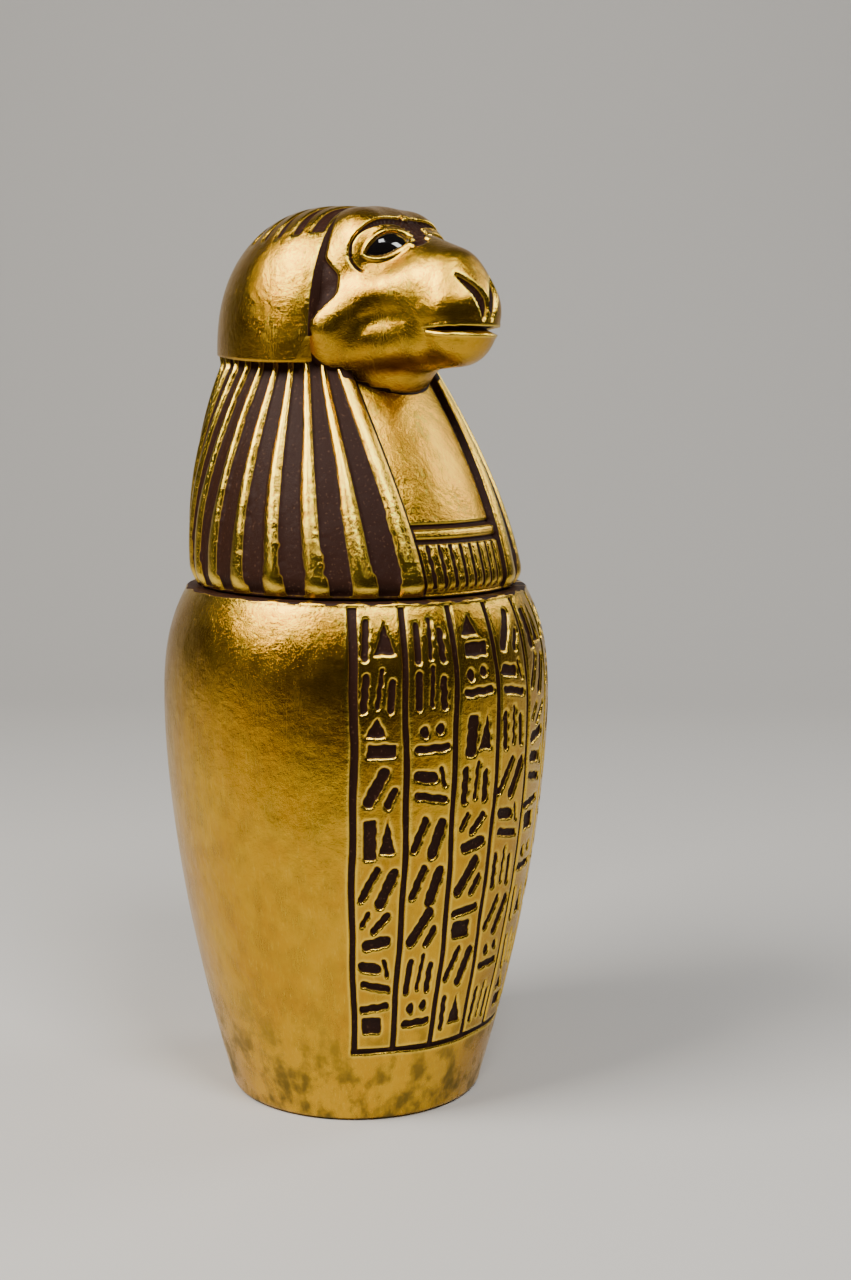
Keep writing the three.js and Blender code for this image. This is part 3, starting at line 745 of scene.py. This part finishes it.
def hood_surface():
    """Sections from the back of the dome to the front edge, each an arch closed by its foot."""
    share = np.concatenate([np.linspace(0.01, 0.3, 20), np.linspace(0.3, 1, 150)[1:]])
    v, w = np.meshgrid(share, np.linspace(0, 1, 130), indexing="ij")
    back = HOOD_S - HOOD_R
    foot = hood_foot(mix(back, hood_edge(60.0), v))

    def place(x, y):
        return mix(back, hood_edge(HOOD_H + y), v), x, HOOD_H + y

    half = reach(lambda r: dome(*place(r, 0 * r)), v.shape, 48.0, 1.0)
    start = np.arctan2(foot - HOOD_H, half)
    angle = mix(start, np.pi - start, w)
    span = reach(lambda r: dome(*place(r * np.cos(angle), r * np.sin(angle))), v.shape, 48.0, 1.0)
    s, _, h = place(span * np.cos(angle), span * np.sin(angle))
    groove = crown_grooves(v, s, h)
    r = span - GROOVE_DEPTH / U * groove
    s, t, h = place(r * np.cos(angle), r * np.sin(angle))
    h = np.where((w == 0) | (w == 1), foot, h)
    rub = np.maximum(rubbed(groove), soft(0.975, 0.99, v) * 0.6) * (1 - groove)
    return to_model(s, t, h), {"paint_and_shade": np.maximum(groove, v > 0.999), "rub": rub, "eye": 0 * v}


# %% [markdown]
# ## The face
#
# A muzzle, a brow and cheeks are lumps that flow into each other, so the face is a field: each
# lump is a distance, and soft minimums join them. Rays from inside the head find the skin. The
# rays are packed close over the eyes and the mouth and spread out where the hood hides them.

# %% Lumps of the face
def egg(s, t, h, centre, radii):
    """Nearly the distance to an ellipsoid, from its scaled radius and its scaled slope."""
    p = [(a - c) / r for a, c, r in zip((s, t, h), centre, radii)]
    k0 = np.sqrt(sum(a * a for a in p)) + 1e-9
    k1 = np.sqrt(sum((a / r) ** 2 for a, r in zip(p, radii))) + 1e-9
    return k0 * (k0 - 1) / k1


def snout(s, t, h, a, b, ra, rb, wide=1.0):
    """Distance to a rounded cone from a to b, stretched sideways by wide."""
    d = np.subtract(b, a)
    ps, pt, ph = s - a[0], t - a[1], h - a[2]
    along = np.clip((ps * d[0] + pt * d[1] + ph * d[2]) / (d @ d), 0, 1)
    side = (pt - along * d[1]) / wide
    return np.sqrt((ps - along * d[0]) ** 2 + side**2 + (ph - along * d[2]) ** 2) - mix(ra, rb, along)


def face_field(s, t, h):
    """Skull, brows, nose bridge, muzzle, jaw, cheeks and throat, joined softly."""
    t = np.abs(t)
    skull = egg(s, t, h, (0, 0, 76), (25.5, 23.4, 23))
    brow = egg(s, t, h, (9.6, 7.4, 87), (12, 10.2, 11.6))
    forehead = egg(s, t, h, (8, 0, 86), (14, 9, 13))
    bridge = snout(s, t, h, (15, 0, 85.5), (33, 0, 78), 9, 10.4)
    muzzle = snout(s, t, h, (12, 0, 72.5), (35.5, 0, 71.6), 15, 12)
    jaw = snout(s, t, h, (12, 0, 64.5), (37, 0, 65.2), 8.5, 7.4, 1.25)
    bone = join(
        snout(s, t, h, (9, 18, 67.8), (17.5, 11, 74.6), 7, 7),
        snout(s, t, h, (17.5, 11, 74.6), (28, 4.4, 77), 7, 8.4), 2)
    jowl = snout(s, t, h, (7, 13.5, 64), (27, 6.4, 65.6), 9.5, 6.9)
    throat = egg(s, t, h, (8.5, 0, 58.6), (14.5, 15.5, 11))
    head = join(join(skull, brow, 3.5), forehead, 3)
    front = join(join(bridge, muzzle, 2.5), jaw, 3)
    side = join(bone, jowl, 2.2)
    return join(join(head, join(front, side, 3.5), 3), throat, 2)


# %% Eyes and brows
EYE_S, EYE_T, EYE_H, EYE_HALF = 21.6, 9.8, 87.9, 6.3
EYE_TURN, EYE_TILT = math.radians(46), math.radians(19)
LID_UP, LID_DOWN = 3.4, 1.95


def eye_marks(s, t, h):
    """Depth, paint and enamel of an eye, its lids and its brow, from x and y in the eye's plane."""
    across = (s - EYE_S) * math.sin(EYE_TURN) - (t - EYE_T) * math.cos(EYE_TURN)
    x = across * math.cos(EYE_TILT) + (h - EYE_H) * math.sin(EYE_TILT)
    y = -across * math.sin(EYE_TILT) + (h - EYE_H) * math.cos(EYE_TILT)
    out = (s - EYE_S) * math.cos(EYE_TURN) + (t - EYE_T) * math.sin(EYE_TURN)
    near = soft(-11, -9, out) * (s > 4)
    arch = 1 - (x / EYE_HALF) ** 2
    full = np.sign(arch) * np.abs(arch) ** 0.85
    slit = np.minimum((LID_UP + 0.06 * x) * full - y, y + (LID_DOWN - 0.1 * x) * full)
    opening = soft(-0.1, 0.2, slit) * near
    ball = np.sqrt(np.clip(1 - ((x + 0.4) / 5.6) ** 2 - ((y - 0.6) / 3.6) ** 2, 0, 1))
    rim = soft(-1.6, -0.8, slit) * soft(0.05, -0.3, slit) * near * soft(8.2, 5.5, np.abs(x))
    loop = np.hypot((x + 0.9) / 9.2, (y - 0.3) / 6.7)
    turn = np.arctan2(y, x)
    wide = mix(0.05, 0.15, soft(-7.5, 0, x)) + 0.07 * soft(3, 7, x) * (1 + np.sin(turn * 30))
    over_eye = soft(-2.4, -0.8, y + np.where(x > 0, 0.3, 2.0))
    brow = soft(1.1, 0.7, np.abs(loop - 1) / wide) * over_eye * near
    ticks = 0.5 + 0.5 * np.sin(turn * 46)
    depth = opening * (1.3 - 2.0 * ball) - 0.55 * rim + brow * (1.05 + 0.25 * ticks)
    return depth, np.maximum(opening, brow), soft(0.15, 0.35, slit) * near


# %% Nostrils, mouth, temples and throat
NOSTRIL_TOP, NOSTRIL_FOOT = 80.5, 69.5
MOUTH_S, MOUTH_H, MOUTH_LENGTH = 36.3, 66.8, 10


def nostril_mark(s, t, h):
    """A slit like a leaf that runs down and in beside the ridge of the nose."""
    along = np.clip((NOSTRIL_TOP - h) / (NOSTRIL_TOP - NOSTRIL_FOOT), 0, 1)
    middle = 1.5 + 4.4 * (1 - along) ** 2.2
    leaf = 0.15 + 1.2 * np.sin(np.pi * along) ** 0.7
    past = np.maximum(np.maximum(h - NOSTRIL_TOP, NOSTRIL_FOOT - h), 0)
    away = np.hypot((t - middle) * mix(0.75, 1.0, along), past) - leaf
    return soft(0.3, -0.25, away) * (s > 28)


def mouth_marks(s, h):
    """The open slit of the mouth, from its corner forward, and the lips along it."""
    forward = np.clip((s - MOUTH_S) / MOUTH_LENGTH, 0, 1)
    gap = 1.3 * np.sqrt(forward) * mix(1, 0.75, forward)
    off = np.abs(h - MOUTH_H - 0.1 * forward) - gap
    mouth = soft(0.0, 0.35, -off) * (s > MOUTH_S)
    return mouth, soft(1.3, 0.5, off) * soft(MOUTH_S - 1.5, MOUTH_S + 1.5, s) * (1 - mouth)


def temple_mark(s, h):
    """The painted hollow between the face and the hood's front edge, widest beside the cheek."""
    wide = 0.7 + 4.2 * soft(70, 77, h) * soft(86, 80, h)
    return soft(wide + 1.0, wide - 0.8, s - hood_edge(h)) * soft(68, 71, h) * soft(101, 99.5, h)


def throat_shade_mark(s, t, h):
    """Painted shade where the throat meets the ribs, or the chest that lies below them."""
    z = h * U
    forward = s * U - bell_centre(z)
    on_chest = np.degrees(np.arctan2(t * U, forward)) < CHEST_SHARE * flap_angle(z)
    floor = np.where(on_chest, chest_floor(z), 0)
    to_bell = (np.hypot(forward, t * U) - bell_radius(z) + floor) / U
    return soft(0.8, 0.2, to_bell) * (h < 62)


def face_marks(s, t, h):
    """Depth to carve, paint, the throat's painted shade and enamel, from places on the skin in
    hundredths.
    """
    t = np.abs(t)
    depth, paint_and_shade, enamel = eye_marks(s, t, h)
    nostril, temple = nostril_mark(s, t, h), temple_mark(s, h)
    mouth, lips = mouth_marks(s, h)
    depth = depth + 1.9 * nostril + 3.2 * mouth - 0.25 * lips + 0.9 * temple
    # The line where the throat meets the bell is painted shade in the paint's brown.
    paint_and_shade = np.maximum.reduce([paint_and_shade, nostril, mouth, 0.95 * temple, throat_shade_mark(s, t, h)])
    return depth, paint_and_shade, enamel


# %% The face's skin
HEAD_MIDDLE = (4.0, 0.0, 72.0)


def face_surface():
    """Rays from inside the head to the field's skin, then the carving along the field's slope."""
    turn = np.linspace(-1, 1, 301)[:-1]
    turn = np.radians(180 * (0.52 * turn + 0.48 * turn**5))
    climb = np.radians(np.concatenate([np.linspace(-80, -34, 16)[:-1], np.linspace(-34, 64, 190),
                                       np.linspace(64, 82, 8)[1:]]))
    e, a = np.meshgrid(climb, turn, indexing="ij")
    direction = np.cos(e) * np.cos(a), np.cos(e) * np.sin(a), np.sin(e)
    at = lambda r: [middle + r * d for middle, d in zip(HEAD_MIDDLE, direction)]
    s, t, h = at(reach(lambda r: face_field(*at(r)), e.shape, 60.0, 1.5))
    depth, paint_and_shade, eye = face_marks(s, t, h)
    step = 0.08
    slope = [face_field(s + i, t + j, h + k) - face_field(s - i, t - j, h - k)
             for i, j, k in np.eye(3) * step]
    length = np.sqrt(sum(g * g for g in slope)) + 1e-9
    s, t, h = (p - depth * g / length for p, g in zip((s, t, h), slope))
    rub = rubbed(depth) * (1 - paint_and_shade)
    return to_model(s, t, h), {"paint_and_shade": paint_and_shade * (1 - eye), "rub": rub, "eye": eye}


skirt_piece = make_piece("lid_skirt", [skirt_surface(), spigot_surface()], LEAF_FINISH)
head_piece = make_piece("lid_head", [face_surface(), hood_surface()], LEAF_FINISH)
for piece in (skirt_piece, head_piece):
    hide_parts("lid")

# %% [markdown]
# ## Stage and light
#
# A pale floor that curves up behind, one large soft light high on the left, a smaller one in
# front and a rim from behind. Metal shows what it mirrors, so some darkness is left between the
# lights, and a black card lies in front of the jar, where only mirrors see it: the belly takes
# its depth from that.

# %% Floor, backdrop and black card
FLOOR_COLOUR, CARD_COLOUR = (0.53, 0.517, 0.495, 1), (0.01, 0.01, 0.01, 1)
CARD_NEAR, CARD_FAR, STAGE_HALF = 0.23, 1.5, 1.6
SWEEP_FROM, SWEEP_BEND, SWEEP_TOP = 0.5, 0.35, 1.6


def stage_sheet(name, depth, height, colour):
    """A sheet as wide as the stage along a line of depths and heights, turned to face the camera."""
    x = np.array([-STAGE_HALF, STAGE_HALF])
    px, py = np.meshgrid(x, depth)
    pz = np.repeat(np.asarray(height)[:, None], 2, 1)
    verts = np.stack([px * math.cos(CAMERA_TURN) - py * math.sin(CAMERA_TURN),
                      px * math.sin(CAMERA_TURN) + py * math.cos(CAMERA_TURN), pz], -1)
    n = np.arange(len(depth) - 1) * 2
    mesh = bpy.data.meshes.new(name)
    mesh.from_pydata(verts.reshape(-1, 3).tolist(), [], np.stack([n, n + 1, n + 3, n + 2], -1).tolist())
    mesh.shade_smooth()
    material = bpy.data.materials.new(name)
    material.use_nodes = True
    shader = material.node_tree.nodes["Principled BSDF"]
    shader.inputs["Base Color"].default_value = colour
    shader.inputs["Roughness"].default_value = 0.75
    mesh.materials.append(material)
    sheet = bpy.data.objects.new(name, mesh)
    bpy.context.scene.collection.objects.link(sheet)
    return sheet


arc = np.linspace(0, np.pi / 2, 14)
floor_depth = [-STAGE_HALF, 0, *(SWEEP_FROM + SWEEP_BEND * np.sin(arc)), SWEEP_FROM + SWEEP_BEND]
floor_height = [0, 0, *(SWEEP_BEND * (1 - np.cos(arc))), SWEEP_TOP]
stage_sheet("floor", floor_depth, floor_height, FLOOR_COLOUR)
card = stage_sheet("black_card", [-CARD_FAR, -CARD_NEAR], [1 * MM, 1 * MM], CARD_COLOUR)
card.visible_camera = card.visible_diffuse = card.visible_shadow = False


# %% Lights
LAMP_AIM = np.array([0, 0, 0.11])


def soft_light(name, turn, climb, distance, size, power, colour=(1, 1, 1)):
    """A square lamp at a bearing and a climb from the jar's middle, aimed at it."""
    a, e = math.radians(turn), math.radians(climb)
    back = np.array([math.sin(a) * math.cos(e), -math.cos(a) * math.cos(e), math.sin(e)])
    data = bpy.data.lights.new(name, "AREA")
    data.size, data.energy, data.color = size, power, colour
    lamp = bpy.data.objects.new(name, data)
    side = np.cross([0, 0, 1], back)
    side /= np.linalg.norm(side)
    matrix = np.eye(4)
    matrix[:3, :3] = np.stack([side, np.cross(back, side), back], 1)
    matrix[:3, 3] = LAMP_AIM + back * distance
    lamp.matrix_world = Matrix(matrix.tolist())
    bpy.context.scene.collection.objects.link(lamp)


soft_light("key", -104, 47, 0.8, 0.4, 10.6, (1, 0.96, 0.9))
soft_light("front", -22, 54, 0.9, 0.28, 6)
soft_light("rim", 66, 32, 0.9, 0.3, 2.6)
world = bpy.data.worlds.new("studio")
world.use_nodes = True
world.node_tree.nodes["Background"].inputs["Color"].default_value = (0.8, 0.78, 0.75, 1)
world.node_tree.nodes["Background"].inputs["Strength"].default_value = 0.045
bpy.context.scene.world = world
